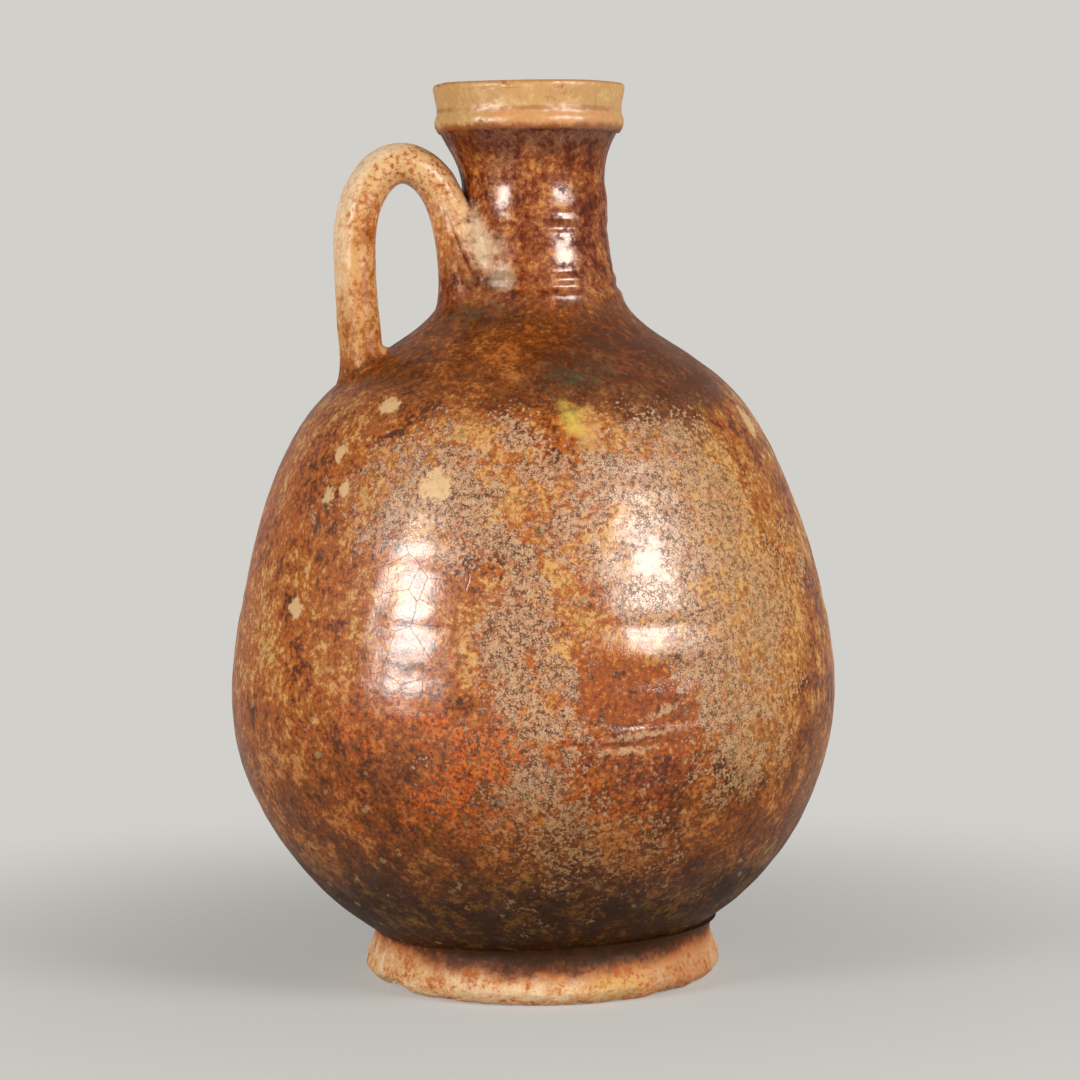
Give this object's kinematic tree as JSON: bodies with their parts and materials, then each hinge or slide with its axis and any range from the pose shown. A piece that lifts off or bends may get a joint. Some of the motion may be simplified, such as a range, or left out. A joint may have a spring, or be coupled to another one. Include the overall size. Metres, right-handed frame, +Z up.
{
  "type": "globular pottery jug",
  "caption": "Globular glazed pottery jug: round body on a flared foot ring, narrow neck with a grooved collar, and a looped strap handle from neck to shoulder.",
  "frame": {"origin": "on the axis of the body, at the plane that the foot ring stands on", "axes": "+Z up along the axis of the body, the handle points along -X"},
  "size_m": [0.204, 0.204, 0.3],
  "materials": {
    "bare_foot_clay": "bare fired buff clay, rough and chipped at the edge",
    "body_glaze": "mottled brown and olive glaze with a sandy patina",
    "neck_glaze": "glossy mottled red-brown glaze",
    "rim_glaze": "thin ochre glaze over buff clay",
    "handle_glaze": "glossy tan and orange-brown glaze",
    "smeared_clay_glaze": "tan glaze over finger-smeared clay"
  },
  "bodies": {
    "root": {"foot_ring": "bare_foot_clay", "lower_body": "body_glaze", "upper_body": "body_glaze", "neck": "neck_glaze", "rim_collar": "rim_glaze", "handle": "handle_glaze", "handle_neck_wad": "smeared_clay_glaze", "handle_shoulder_wad": "smeared_clay_glaze"}
  },
  "joints": []
}
